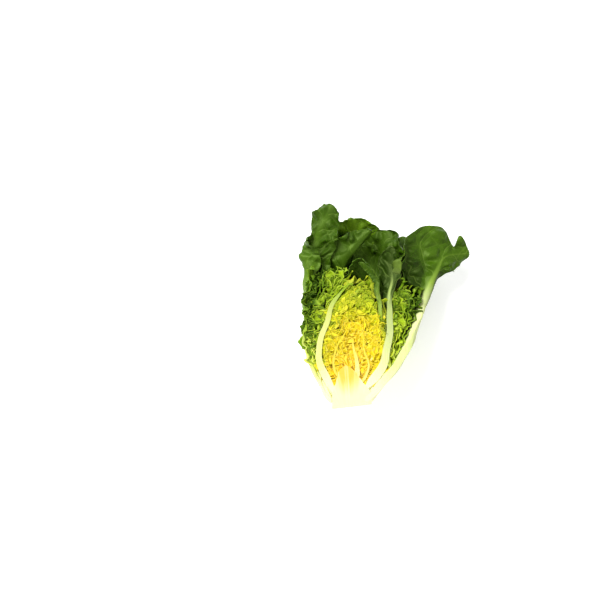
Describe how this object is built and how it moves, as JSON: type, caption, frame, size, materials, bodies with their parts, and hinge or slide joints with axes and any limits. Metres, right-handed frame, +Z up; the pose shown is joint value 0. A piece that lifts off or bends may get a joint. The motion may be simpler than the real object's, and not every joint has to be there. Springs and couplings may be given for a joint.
{
  "type": "romaine heart half",
  "caption": "Half of a romaine lettuce heart, cut lengthwise and lying on its back: dark outer leaves open round a crisp yellow heart on a short pale core.",
  "frame": {"origin": "on the table, under the middle of the part's box", "axes": "+Y along the head from the trimmed butt to the leaf tips, +Z up from the table to the cut face, +X to the right as seen from above the cut face"},
  "size_m": [0.1692, 0.2064, 0.05],
  "materials": {
    "core": "moist cut stem, cream",
    "outer_leaf": "dark green leaf with a soft gloss and pale veins",
    "middle_leaf": "yellow-green leaf, slightly translucent",
    "heart_leaf": "pale yellow crumpled leaf, translucent"
  },
  "bodies": {
    "root": {"core": "core", "under_leaf": "outer_leaf", "under_right_leaf": "outer_leaf", "under_left_leaf": "outer_leaf", "back_right_leaf": "outer_leaf", "tall_left_leaf": "outer_leaf", "front_left_leaf": "outer_leaf", "back_middle_leaf": "outer_leaf", "right_outer_leaf": "outer_leaf", "right_cut_leaf": "outer_leaf", "left_outer_leaf": "middle_leaf", "right_middle_leaf": "middle_leaf", "hood_leaf": "middle_leaf", "left_cut_leaf": "middle_leaf", "heart_leaf_1": "heart_leaf", "heart_leaf_2": "heart_leaf", "heart_leaf_3": "heart_leaf", "heart_leaf_4": "heart_leaf", "heart_leaf_5": "heart_leaf", "heart_leaf_6": "heart_leaf", "heart_leaf_7": "heart_leaf", "heart_leaf_8": "heart_leaf", "heart_leaf_9": "heart_leaf"}
  },
  "joints": []
}
